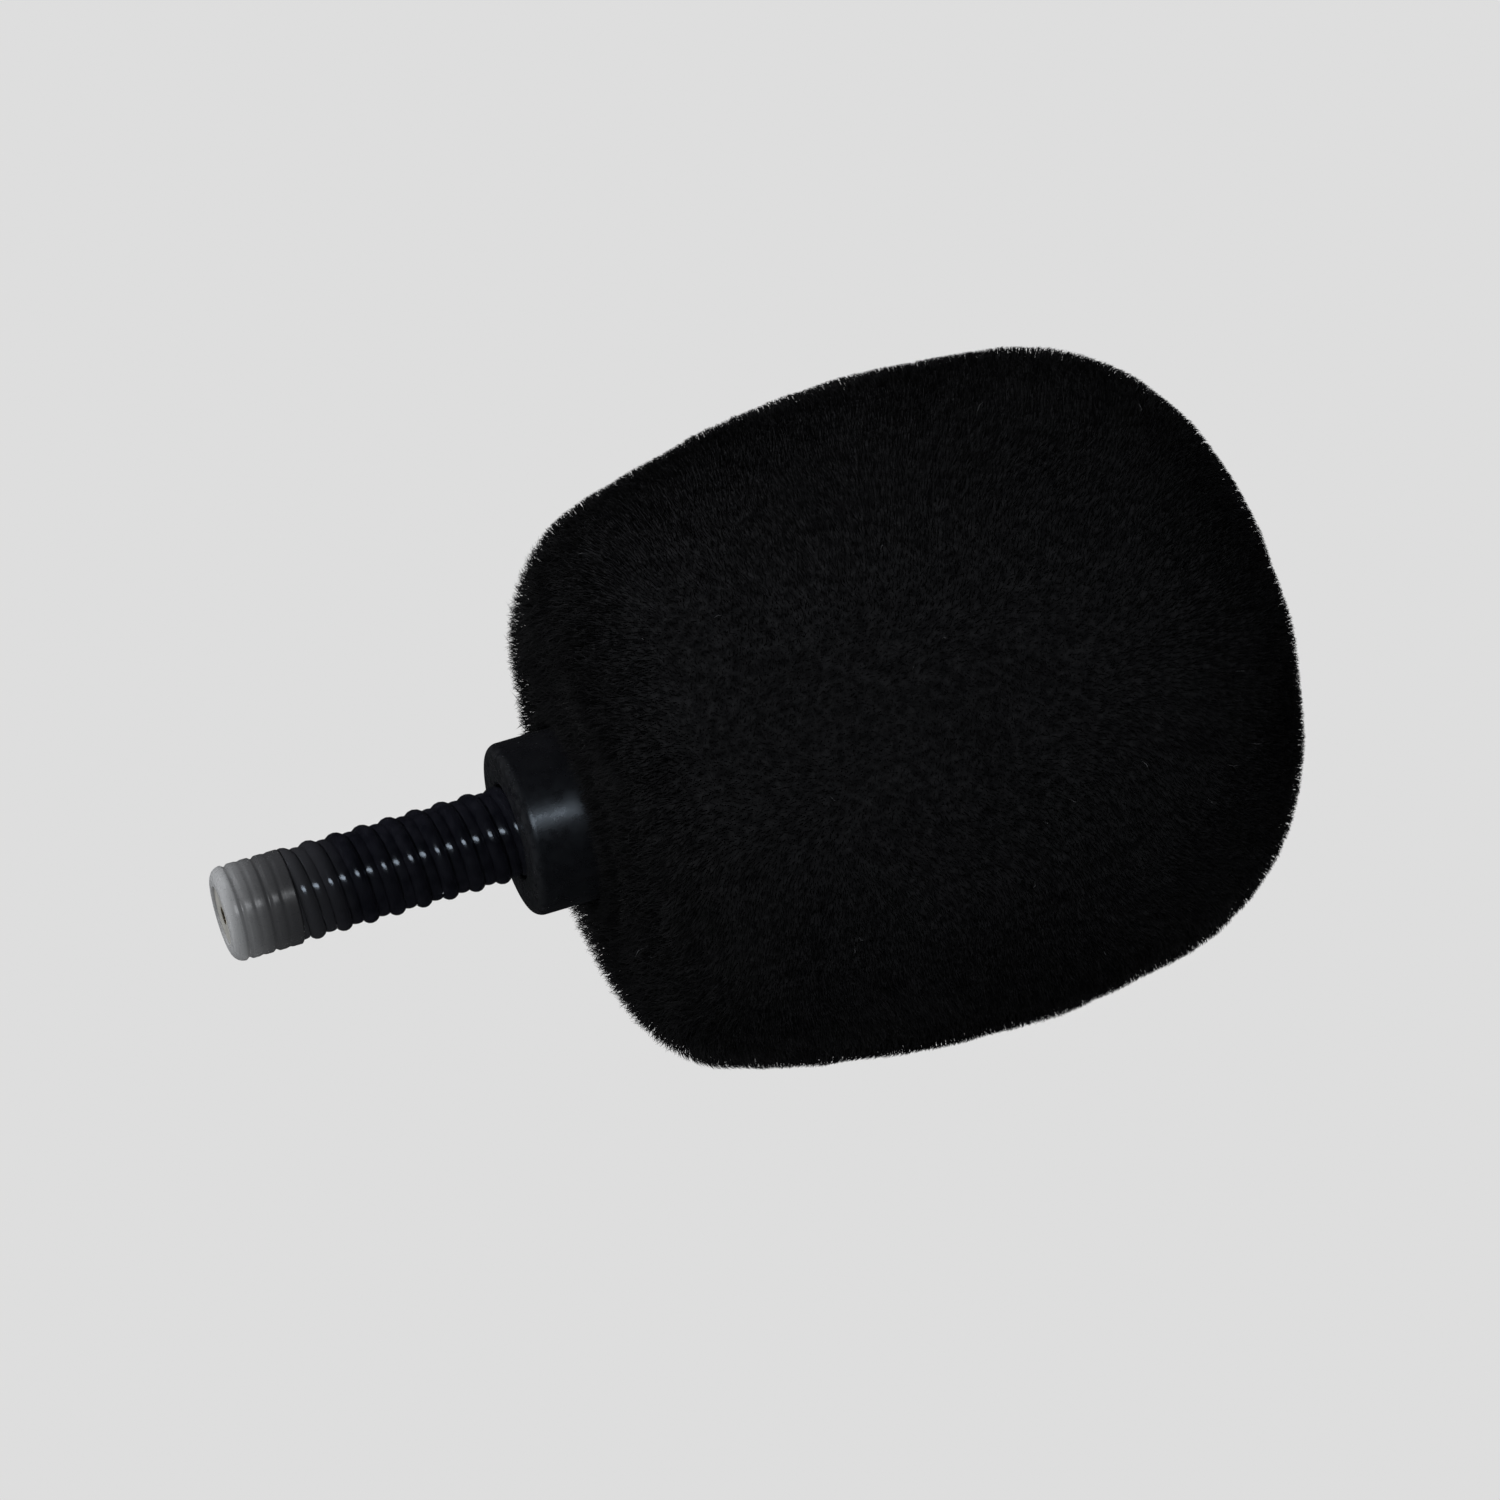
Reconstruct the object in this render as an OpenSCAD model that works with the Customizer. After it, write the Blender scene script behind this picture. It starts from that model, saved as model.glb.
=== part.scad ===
// Small fur-covered windscreen on a slim gooseneck microphone. Units: mm.
// +Z runs along the microphone's axis, from the gooseneck's lower end to the windscreen's nose.

/* [Windscreen] */
// Outside diameter over the pile
windscreen_d = 41.9; // [36:0.1:46]
// Knitted backing and pile together
cover_t = 1.6; // [1.5:0.1:2]
// Width of the rolled hem round the mouth
hem_d = 1.2; // [1:0.1:1.2]
// Length of barrel that shows below the mouth
barrel_shows = 4.2; // [2:0.1:5.5]

/* [Microphone barrel] */
// Outside diameter of the barrel
barrel_d = 11; // [10.9:0.1:11.5]
// Length of the barrel, without its grille
barrel_len = 30; // [28:0.5:34]
// Bore that takes a 9.7 mm capsule
capsule_bore_d = 9.8; // [9.75:0.05:9.85]

/* [Gooseneck] */
// Outside diameter of the gooseneck and of its end ferrule
neck_d = 6; // [5.8:0.1:6.2]
// Length that bends, between the ferrule and the barrel
flex_len = 14.2; // [12:0.1:20]
// Spacing of the coil's turns
coil_pitch = 1.71; // [1.68:0.01:1.72]
// Length of the smooth end ferrule
ferrule_len = 4.4; // [4.4:0.1:6]

/* [Hidden] */
$fn = 96;

// Small gaps: between neighbouring solids, and in the running fit of the grip ring
gap = 0.05;
soft_gap = 0.1;

// Heights along the axis
barrel_z = ferrule_len + flex_len;
barrel_top = barrel_z + barrel_len;
mouth_z = barrel_z + barrel_shows;

// Barrel
barrel_r = barrel_d / 2;
capsule_bore_r = capsule_bore_d / 2;
floor_t = 1;
edge_r = 0.7;
bush_r = 3.9;
bush_len = 5;
bush_flange_t = 1;
bush_z = barrel_z + floor_t;
neck_hole_r = neck_d / 2 + soft_gap;
shoulder_z = barrel_z + 9.4;
grommet_bore_r = 4.2;
grip_z = barrel_z + 7.9;
grip_section_r = 0.48;
grip_r = barrel_r - 0.23;
groove_floor_r = grip_r - grip_section_r - gap;
groove_half = grip_section_r + soft_gap;
screw_z = barrel_z + 5;
screw_r = 1;

// Windscreen outline: four tangent arcs turned about the axis, as [centre, radius, from, to].
// Their radii are given for a windscreen of drawn_d.
drawn_d = 41.9;
shape_k = windscreen_d / drawn_d;
rear_flat_r = 10.8 * shape_k;
rear_arc_r = 7.6 * shape_k;
side_arc_r = 58 * shape_k;
front_arc_r = 13.65 * shape_k;
nose_arc_r = 42 * shape_k;
rear_to_side = -18.3;
side_to_front = 10.3;
rear_c = [rear_flat_r, mouth_z + rear_arc_r];
side_c = rear_c - (side_arc_r - rear_arc_r) * direction(rear_to_side);
front_c = side_c + (side_arc_r - front_arc_r) * direction(side_to_front);
front_to_nose = acos(front_c[0] / (nose_arc_r - front_arc_r));
nose_c = front_c - (nose_arc_r - front_arc_r) * direction(front_to_nose);
OUTLINE = [
  [rear_c, rear_arc_r, -90, rear_to_side],
  [side_c, side_arc_r, rear_to_side, side_to_front],
  [front_c, front_arc_r, side_to_front, front_to_nose],
  [nose_c, nose_arc_r, front_to_nose, 90]
];
arc_steps = 14;

// Mouth and bore of the windscreen
bore_r = barrel_r + 0.3;
bore_top = barrel_top + 1.7;
hem_r = hem_d / 2;
hem_inset = 0.4;
hem_c = [bore_r + 0.1 + hem_r, mouth_z + hem_inset + hem_r];
cover_mouth_r = hem_c[0] + hem_r + soft_gap;
elastic_r = hem_r / 2;
foam_inset = cover_t + soft_gap;

// Gooseneck coil: a round wire, and a wedge wire lying in the valley between its turns
wire_r = 0.6;
coil_r = neck_d / 2 - wire_r;
first_rise = 1.04;
wire_z = ferrule_len + first_rise;
coil_start_z = ferrule_len + gap;
coil_end_z = bush_z + bush_len - wire_r;
wire_sides = 8;
turn_steps = 24;
turn_gap = 0.01;
hidden_turns = 0.95;
ROUND_SECTION = [for (i = [0 : wire_sides - 1]) [coil_r, 0] + wire_r * direction(360 * i / wire_sides)];
wedge_outer_r = neck_d / 2 - 0.22;
wedge_inner_r = neck_d / 2 - 0.55;
wedge_outer_half = 0.32;
wedge_inner_half = 0.18;
WEDGE_SECTION = [
  [wedge_outer_r, -wedge_outer_half],
  [wedge_outer_r, wedge_outer_half],
  [wedge_inner_r, wedge_inner_half],
  [wedge_inner_r, -wedge_inner_half]
];

// Cable
cable_r = 1.1;
cable_bore_r = cable_r + gap;
cable_z = 1.9;
cable_top = barrel_z + 10;

// End ferrule and its contacts
spigot_r = coil_r - wire_r - 0.08;
spigot_len = 1.6;
insulator_r = 1.9;
insulator_len = 1.5;
insulator_z = 0.15;
contact_r = 0.55;

// Capsule: the can, and the stack in it counted down from its front and up from its back
fine_gap = 0.04;
capsule_r = 4.85;
capsule_h = 4.5;
capsule_front = barrel_top - 1.5;
capsule_back = capsule_front - capsule_h;
can_t = 0.25;
can_inner_r = capsule_r - can_t - gap;
lip_r = 4;
film_ring_h = 0.5;
film_ring_z = capsule_front - can_t - gap - film_ring_h;
film_t = 0.06;
film_z = film_ring_z - fine_gap - film_t;
spacer_t = 0.08;
spacer_z = film_z - fine_gap - spacer_t;
plate_t = 0.35;
plate_z = spacer_z - fine_gap - plate_t;
board_t = 0.8;
pad_x = 1.2;
board_z = capsule_back + can_t + gap;
board_top = board_z + board_t;
gasket_h = 0.9;

// Grille
grille_skirt = 1.4;
grille_t = 0.8;
grille_hole_r = 0.42;

function direction(a) = [cos(a), sin(a)];

function arc_points(centre, radius, from, to, first = 0) =
  [for (i = [first : arc_steps]) centre + radius * direction(from + (to - from) * i / arc_steps)];

// Outline from the rear face to the nose, moved inwards by inset
function outline_points(inset) = [
  for (i = [0 : len(OUTLINE) - 1])
    let (a = OUTLINE[i]) each arc_points(a[0], a[1] - inset, a[2], a[3], min(i, 1))
];

function reversed(points) = [for (i = [len(points) - 1 : -1 : 0]) points[i]];

// Height of the gooseneck's cut k: 1 to 4 are its bending points, 0 and 5 its ends
function cut_z(k) =
  k == 0 ? ferrule_len : k == 5 ? coil_end_z : ferrule_len + flex_len * (2 * k - 1) / 8;

// Turn at which a helix with the given start height reaches cut k
function cut_turn(k, start) = (cut_z(k) - start) / coil_pitch;

// A section in the [radius, height] plane swept up a helix from its height at turn 0
module helix_sweep(section, start, first_turn, last_turn) {
  sides = len(section);
  steps = ceil((last_turn - first_turn) * turn_steps);
  points = [
    for (i = [0 : steps])
      let (turn = first_turn + (last_turn - first_turn) * i / steps)
        for (p = section)
          [p[0] * cos(360 * turn), p[0] * sin(360 * turn), start + coil_pitch * turn + p[1]]
  ];
  walls = [
    for (i = [0 : steps - 1], j = [0 : sides - 1])
      let (a = i * sides + j, b = i * sides + (j + 1) % sides)
        each [[a, a + sides, b + sides], [a, b + sides, b]]
  ];
  start_cap = [for (j = [1 : sides - 2]) [0, j, j + 1]];
  end_cap = [for (j = [1 : sides - 2]) [steps * sides, steps * sides + j + 1, steps * sides + j]];
  polyhedron(points = points, faces = concat(walls, start_cap, end_cap));
}

// Length k of a helical wire; its lowest length is ground flat where it stands on the ferrule
module wire_length(k, section, start) {
  if (k == 1) intersection() {
    helix_sweep(section, start, -hidden_turns, cut_turn(1, start));
    translate([0, 0, coil_start_z]) cylinder(h = flex_len, r = neck_d);
  }
  else helix_sweep(section, start, cut_turn(k - 1, start) + turn_gap, cut_turn(k, start));
}

module coil_wire(k) {
  color("#141416") wire_length(k, ROUND_SECTION, wire_z);
}

// The wedge wire runs half a turn's pitch below the round wire
module wedge_wire(k) {
  color("#1a1a1d") wire_length(k, WEDGE_SECTION, wire_z - coil_pitch / 2);
}

module cable(k) {
  from = k == 1 ? cable_z : cut_z(k - 1) + gap;
  to = k == 5 ? cable_top : cut_z(k);
  color("#101010") translate([0, 0, from]) cylinder(h = to - from, r = cable_r);
}

module ring(outer, inner, low, high) {
  translate([0, 0, low]) difference() {
    cylinder(h = high - low, r = outer);
    translate([0, 0, -1]) cylinder(h = high - low + 2, r = inner);
  }
}

module fur_cover() {
  color("#121214") rotate_extrude()
    polygon(concat(
      [[cover_mouth_r, mouth_z]],
      outline_points(0),
      reversed(outline_points(cover_t)),
      [[cover_mouth_r, mouth_z + cover_t]]
    ));
}

// Rolled hem: a tube of fabric with the slit left by its turned-in edge
module mouth_hem() {
  slit = 0.16;
  color("#0f0f10") rotate_extrude() difference() {
    translate(hem_c) circle(r = hem_r, $fn = 48);
    translate(hem_c) circle(r = elastic_r + 0.03, $fn = 48);
    translate([hem_c[0] - slit / 2, hem_c[1]]) square([slit, hem_r + 1]);
  }
}

module hem_elastic() {
  color("#2a2a2c") rotate_extrude() translate(hem_c) circle(r = elastic_r, $fn = 48);
}

// Foam body with the bore that slides over the barrel; the bore ends in a shallow cone
module foam_core() {
  foam_z = mouth_z + foam_inset;
  cone_h = 1.2;
  color("#1b1b1d") rotate_extrude()
    polygon(concat(
      [[bore_r, foam_z]],
      outline_points(foam_inset),
      [[0, bore_top + cone_h], [bore_r, bore_top]]
    ));
}

// Elastic ring in the barrel's groove: it grips the foam and turns with it
module grip_ring() {
  color("#0c0c0c") translate([0, 0, grip_z]) rotate_extrude()
    translate([grip_r, 0]) circle(r = grip_section_r, $fn = 48);
}

module mic_barrel() {
  edge_c = [barrel_r - edge_r, barrel_z + edge_r];
  color("#161618") difference() {
    rotate_extrude() polygon(concat(
      [[neck_hole_r, barrel_z]],
      arc_points(edge_c, edge_r, -90, 0),
      [
        [barrel_r, grip_z - groove_half],
        [groove_floor_r, grip_z - groove_half],
        [groove_floor_r, grip_z + groove_half],
        [barrel_r, grip_z + groove_half],
        [barrel_r, barrel_top],
        [capsule_bore_r, barrel_top],
        [capsule_bore_r, shoulder_z],
        [grommet_bore_r, shoulder_z],
        [grommet_bore_r, bush_z + bush_len],
        [bush_r + gap, bush_z + bush_len],
        [bush_r + gap, bush_z],
        [neck_hole_r, bush_z]
      ]
    ));
    translate([0, 0, screw_z]) rotate([0, 90, 0]) cylinder(h = barrel_r + 1, r = screw_r + 0.02);
  }
}

module grille_hole(radius, angle) {
  rotate(angle) translate([radius, 0, barrel_top - 1])
    cylinder(h = grille_t + 2, r = grille_hole_r, $fn = 24);
}

module grille_cap() {
  top = barrel_top + gap + grille_t;
  bevel = 0.3;
  skirt_r = capsule_bore_r - gap;
  skirt_t = 0.45;
  hole_ring_step = 1.45;
  color("#131315") difference() {
    rotate_extrude() polygon([
      [0, barrel_top + gap],
      [skirt_r - skirt_t, barrel_top + gap],
      [skirt_r - skirt_t, barrel_top - grille_skirt],
      [skirt_r, barrel_top - grille_skirt],
      [skirt_r, barrel_top + gap],
      [barrel_r, barrel_top + gap],
      [barrel_r, top - bevel],
      [barrel_r - bevel, top],
      [0, top]
    ]);
    grille_hole(0, 0);
    for (i = [0 : 5]) grille_hole(hole_ring_step, i * 60);
    for (i = [0 : 11]) grille_hole(2 * hole_ring_step, i * 30);
  }
}

module acoustic_mesh() {
  mesh_t = 0.2;
  color("#303033") translate([0, 0, barrel_top - mesh_t]) cylinder(h = mesh_t, r = 4.35);
}

module capsule_can() {
  sound_hole_r = 1;
  color("#b9bcc0") difference() {
    translate([0, 0, capsule_back]) cylinder(h = capsule_h, r = capsule_r);
    translate([0, 0, capsule_back + can_t]) cylinder(h = capsule_h - 2 * can_t, r = can_inner_r + gap);
    translate([0, 0, capsule_back - 1]) cylinder(h = 2, r = lip_r);
    translate([0, 0, capsule_front - 1]) cylinder(h = 2, r = sound_hole_r);
  }
}

module diaphragm_ring() {
  color("#c9a24a") ring(can_inner_r, can_inner_r - 0.65, film_ring_z, film_ring_z + film_ring_h);
}

module diaphragm() {
  color("#c8ccd2") translate([0, 0, film_z]) cylinder(h = film_t, r = can_inner_r);
}

module spacer_ring() {
  color("#d9d4c4") ring(can_inner_r, can_inner_r - 0.55, spacer_z, spacer_z + spacer_t);
}

module backplate() {
  vent_r = 0.4;
  vent_ring_r = 2.2;
  color("#b08d3c") difference() {
    translate([0, 0, plate_z]) cylinder(h = plate_t, r = can_inner_r - 0.2);
    for (i = [0 : 3]) rotate(90 * i) translate([vent_ring_r, 0, plate_z - 1])
      cylinder(h = 3, r = vent_r, $fn = 24);
  }
}

module backplate_holder() {
  color("#dedbd2") ring(can_inner_r, can_inner_r - 0.95, board_top + soft_gap, plate_z - gap);
}

module capsule_board() {
  color("#2f5a35") translate([0, 0, board_z]) cylinder(h = board_t, r = can_inner_r);
}

module fet_chip() {
  size = [2, 1.4, 0.9];
  color("#101010") translate([-size[0] / 2, -size[1] / 2, board_top + gap]) cube(size);
}

// Two solder cones on the back of the board
module solder_joints() {
  solder_h = 0.55;
  color("#c4c7cb") for (side = [-1, 1])
    translate([side * pad_x, 0, board_z - gap - solder_h]) cylinder(h = solder_h, r1 = 0.45, r2 = 0.7);
}

module capsule_gasket() {
  color("#0e0e0e") ring(capsule_bore_r - gap, 3.9, capsule_back - gasket_h - gap, capsule_back - gap);
}

module support_tube() {
  color("#1c1c1e") ring(capsule_bore_r - gap, 4.2, shoulder_z + gap, capsule_back - gasket_h - 2 * gap);
}

// Two insulated wires spreading from the cable's end to the solder pads
module lead_wires() {
  core_x = 0.45;
  wire_len = capsule_back - 0.6 - cable_top;
  lean = atan2(pad_x - core_x, wire_len);
  color("#a12a22") for (side = [-1, 1])
    translate([side * core_x, 0, cable_top + soft_gap + gap]) rotate([0, side * lean, 0])
      cylinder(h = wire_len, r = 0.3);
}

module cable_grommet() {
  low = bush_z + bush_len + bush_flange_t + soft_gap;
  color("#0d0d0d") ring(grommet_bore_r - gap, cable_bore_r, low, shoulder_z - soft_gap);
}

// Flanged bush that holds the coil's end
module neck_bush() {
  color("#b8923f") difference() {
    union() {
      translate([0, 0, bush_z + gap]) cylinder(h = bush_len, r = bush_r);
      translate([0, 0, bush_z + bush_len + gap])
        cylinder(h = bush_flange_t - gap, r = grommet_bore_r - gap);
    }
    translate([0, 0, bush_z - 1]) cylinder(h = bush_len + 1, r = neck_d / 2 + 0.02);
    translate([0, 0, bush_z]) cylinder(h = bush_len + 3, r = cable_bore_r + 0.2);
  }
}

// Headless screw that clamps the bush, with a hexagon socket
module set_screw() {
  inner_end = bush_r + gap;
  outer_end = barrel_r - 0.1;
  socket_depth = 0.7;
  color("#3a3a3d") translate([0, 0, screw_z]) rotate([0, 90, 0]) difference() {
    translate([0, 0, inner_end]) cylinder(h = outer_end - inner_end, r = screw_r, $fn = 48);
    translate([0, 0, outer_end - socket_depth]) cylinder(h = 2, r = 0.52, $fn = 6);
  }
}

// Ferrule with a rounded end, two rolled grooves, and a hollow spigot that goes up inside the coil
module end_ferrule() {
  ferrule_r = neck_d / 2;
  end_edge_r = 0.5;
  groove_depth = 0.18;
  groove_half_w = 0.2;
  first_groove = ferrule_len - 2 * coil_pitch;
  second_groove = ferrule_len - coil_pitch;
  pocket_r = insulator_r + 0.02;
  pocket_top = insulator_z + insulator_len + 0.02;
  color("#8d9095") rotate_extrude() polygon(concat(
    [[pocket_r, 0]],
    arc_points([ferrule_r - end_edge_r, end_edge_r], end_edge_r, -90, 0),
    [
      [ferrule_r, first_groove - groove_half_w],
      [ferrule_r - groove_depth, first_groove],
      [ferrule_r, first_groove + groove_half_w],
      [ferrule_r, second_groove - groove_half_w],
      [ferrule_r - groove_depth, second_groove],
      [ferrule_r, second_groove + groove_half_w],
      [ferrule_r, ferrule_len],
      [spigot_r, ferrule_len],
      [spigot_r, ferrule_len + spigot_len],
      [cable_bore_r, ferrule_len + spigot_len],
      [cable_bore_r, pocket_top],
      [pocket_r, pocket_top]
    ]
  ));
}

module end_insulator() {
  color("#cfcabc") ring(insulator_r, contact_r + 0.02, insulator_z, insulator_z + insulator_len);
}

module centre_contact() {
  color("#d8b45a") translate([0, 0, insulator_z]) cylinder(h = insulator_len, r = contact_r);
}

module coil_wire_1() coil_wire(1);
module coil_wire_2() coil_wire(2);
module coil_wire_3() coil_wire(3);
module coil_wire_4() coil_wire(4);
module coil_wire_5() coil_wire(5);
module wedge_wire_1() wedge_wire(1);
module wedge_wire_2() wedge_wire(2);
module wedge_wire_3() wedge_wire(3);
module wedge_wire_4() wedge_wire(4);
module wedge_wire_5() wedge_wire(5);
module cable_1() cable(1);
module cable_2() cable(2);
module cable_3() cable(3);
module cable_4() cable(4);
module cable_5() cable(5);

fur_cover();
mouth_hem();
hem_elastic();
foam_core();
grip_ring();
mic_barrel();
grille_cap();
acoustic_mesh();
capsule_can();
diaphragm_ring();
diaphragm();
spacer_ring();
backplate();
backplate_holder();
capsule_board();
fet_chip();
solder_joints();
capsule_gasket();
support_tube();
lead_wires();
cable_grommet();
neck_bush();
set_screw();
coil_wire_1();
coil_wire_2();
coil_wire_3();
coil_wire_4();
coil_wire_5();
wedge_wire_1();
wedge_wire_2();
wedge_wire_3();
wedge_wire_4();
wedge_wire_5();
cable_1();
cable_2();
cable_3();
cable_4();
cable_5();
end_ferrule();
end_insulator();
centre_contact();
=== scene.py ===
import math

import bmesh
import bpy
import numpy as np
from mathutils import Matrix, Vector
from mathutils.kdtree import KDTree


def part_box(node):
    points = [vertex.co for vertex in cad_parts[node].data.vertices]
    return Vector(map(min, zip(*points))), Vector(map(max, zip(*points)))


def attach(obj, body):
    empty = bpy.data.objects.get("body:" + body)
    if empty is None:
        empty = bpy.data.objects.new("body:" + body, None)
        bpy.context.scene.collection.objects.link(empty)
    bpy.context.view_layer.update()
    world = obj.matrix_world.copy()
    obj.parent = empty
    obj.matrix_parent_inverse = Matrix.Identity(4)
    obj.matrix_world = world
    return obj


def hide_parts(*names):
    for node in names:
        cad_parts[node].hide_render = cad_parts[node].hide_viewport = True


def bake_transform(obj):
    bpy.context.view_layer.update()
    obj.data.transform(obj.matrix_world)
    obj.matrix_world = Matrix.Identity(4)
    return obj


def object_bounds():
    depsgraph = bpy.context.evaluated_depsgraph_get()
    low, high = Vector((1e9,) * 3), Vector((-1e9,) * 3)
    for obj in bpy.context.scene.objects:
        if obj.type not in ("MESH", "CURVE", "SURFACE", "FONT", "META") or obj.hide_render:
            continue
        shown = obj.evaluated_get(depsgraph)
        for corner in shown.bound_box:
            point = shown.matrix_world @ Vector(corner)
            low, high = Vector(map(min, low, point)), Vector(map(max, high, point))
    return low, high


MM = 0.001

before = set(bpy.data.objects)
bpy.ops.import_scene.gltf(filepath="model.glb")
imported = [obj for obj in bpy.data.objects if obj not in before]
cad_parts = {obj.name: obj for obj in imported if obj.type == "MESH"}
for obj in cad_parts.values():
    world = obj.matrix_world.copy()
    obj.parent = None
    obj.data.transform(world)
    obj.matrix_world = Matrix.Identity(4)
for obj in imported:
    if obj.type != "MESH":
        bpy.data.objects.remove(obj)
cad_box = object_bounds()

# ---------------------------------------------------------------- places, from the CAD frame
FERRULE_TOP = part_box("end_ferrule")[1].z
BARREL_LOW, BARREL_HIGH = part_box("mic_barrel")
COVER_LOW, COVER_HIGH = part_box("fur_cover")
HEM_LOW, HEM_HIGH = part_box("mouth_hem")
RING_LOW, RING_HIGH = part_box("grip_ring")
SCREW_LOW, SCREW_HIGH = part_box("set_screw")
COIL_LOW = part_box("coil_wire_1")[0].z
COIL_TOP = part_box("coil_wire_5")[1].z
CABLE_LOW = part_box("cable_1")[0].z
CABLE_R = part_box("cable_1")[1].x
CABLE_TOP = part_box("cable_5")[1].z

NECK_R = 3 * MM
BARREL_R = 5.5 * MM
MOUTH_Z = COVER_LOW.z
NOSE_Z = COVER_HIGH.z

# Gooseneck: the same helix as the CAD's, cut where one link ends and the next begins
WIRE_R = 0.6 * MM
COIL_R = NECK_R - WIRE_R
PITCH = 1.71 * MM
GRIND = 0.05 * MM
FLEX_LOW = COIL_LOW - GRIND
FLEX_HIGH = BARREL_LOW.z
WIRE_START = FLEX_LOW + 1.04 * MM
HIDDEN_TURNS = 0.95
LINKS = [
    "gooseneck_base", "gooseneck_link_1", "gooseneck_link_2", "gooseneck_link_3", "microphone_head",
]
IN_BARREL = len(LINKS) - 1

# Windscreen outline: four tangent arcs, as in the CAD, scaled with the cover's widest radius
MAX_R = 20.949 * MM
SHAPE = COVER_HIGH.x / MAX_R
REAR_FLAT = 10.8 * MM * SHAPE
REAR_ARC, SIDE_ARC, FRONT_ARC, NOSE_ARC = (r * MM * SHAPE for r in (7.6, 58, 13.65, 42))
REAR_TO_SIDE = math.radians(-18.3)
SIDE_TO_FRONT = math.radians(10.3)
COVER_MOUTH_R = 7.2 * MM
COVER_T = 1.6 * MM
FOAM_INSET = 1.7 * MM
BORE_R = 5.8 * MM

# Hem: the radius of its roll, and the middle of the roll
HEM_R = (HEM_HIGH.z - HEM_LOW.z) / 2
HEM_MID_R = BORE_R + 0.1 * MM + HEM_R
HEM_MID_Z = (HEM_LOW.z + HEM_HIGH.z) / 2

# The slipped-on windscreen sits a little askew: it leans by these angles above its mouth
LEAN_X = math.radians(0.87)
LEAN_Y = math.radians(0.2)

SEED = 20

# Tint of the reflections on the barrel's and the wire's black finish
BLUE_SHINE = (0.76, 0.87, 1.0)

# Bare metal at the gooseneck's lower end, where its black finish is worn off
WORN_GREY = (0.36, 0.36, 0.365)


def direction(angle):
    return np.array([math.cos(angle), math.sin(angle)])


def outline_arcs():
    """The outline's arcs as (centre, radius, from, to), from the rear face to the nose."""
    rear = np.array([REAR_FLAT, MOUTH_Z + REAR_ARC])
    side = rear - (SIDE_ARC - REAR_ARC) * direction(REAR_TO_SIDE)
    front = side + (SIDE_ARC - FRONT_ARC) * direction(SIDE_TO_FRONT)
    front_to_nose = math.acos(front[0] / (NOSE_ARC - FRONT_ARC))
    nose = front - (NOSE_ARC - FRONT_ARC) * direction(front_to_nose)
    return [
        (rear, REAR_ARC, -math.pi / 2, REAR_TO_SIDE),
        (side, SIDE_ARC, REAR_TO_SIDE, SIDE_TO_FRONT),
        (front, FRONT_ARC, SIDE_TO_FRONT, front_to_nose),
        (nose, NOSE_ARC, front_to_nose, math.pi / 2),
    ]


def outline(step):
    """Points and outward normals (radius, height) about every step along the outline from the mouth."""
    flat = np.arange(COVER_MOUTH_R, REAR_FLAT, step)
    points = [np.stack([flat, np.full(len(flat), MOUTH_Z)], 1)]
    normals = [np.tile([0.0, -1.0], (len(flat), 1))]
    for centre, radius, start, end in outline_arcs():
        count = max(4, round(radius * (end - start) / step))
        angles = start + (end - start) * np.arange(count) / count
        rays = np.stack([np.cos(angles), np.sin(angles)], 1)
        points.append(centre + radius * rays)
        normals.append(rays)
    points.append(np.array([[0.0, NOSE_Z]]))
    normals.append(np.array([[0.0, 1.0]]))
    return np.concatenate(points), np.concatenate(normals)


def smooth(value, start, end):
    """0 before start, 1 after end, and a smooth rise between them."""
    t = np.clip((value - start) / (end - start), 0, 1)
    return t * t * (3 - 2 * t)


def ripple(points, period, seed, waves=14):
    """A smooth random field over points, from about -1 to 1, with bumps about one period apart."""
    rng = np.random.default_rng(seed)
    rays = rng.normal(size=(waves, 3))
    rays /= np.linalg.norm(rays, axis=1)[:, None]
    rays *= (2 * math.pi / period * rng.uniform(0.7, 1.4, waves))[:, None]
    return np.sin(points @ rays.T + rng.uniform(0, 2 * math.pi, waves)).sum(1) * math.sqrt(1 / waves)


def lean(points):
    """Points of the windscreen, leaned over from the mouth upwards."""
    rise = np.maximum(points[:, 2] - MOUTH_Z, 0)
    points = points.copy()
    points[:, 0] -= rise * math.tan(LEAN_X)
    points[:, 1] -= rise * math.tan(LEAN_Y)
    return points


# ---------------------------------------------------------------- meshes
def shown(name, mesh, finish, sharp_deg=35):
    """An object with a mesh whose faces point outwards, smooth apart from its sharp edges."""
    edit = bmesh.new()
    edit.from_mesh(mesh)
    bmesh.ops.recalc_face_normals(edit, faces=edit.faces)
    edit.to_mesh(mesh)
    edit.free()
    mesh.polygons.foreach_set("use_smooth", [True] * len(mesh.polygons))
    mesh.set_sharp_from_angle(angle=math.radians(sharp_deg))
    mesh.materials.append(finish)
    obj = bpy.data.objects.new(name, mesh)
    bpy.context.scene.collection.objects.link(obj)
    return obj


def mesh_of(name, points, faces):
    mesh = bpy.data.meshes.new(name)
    mesh.from_pydata([tuple(p) for p in points], [], faces)
    return mesh


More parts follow.
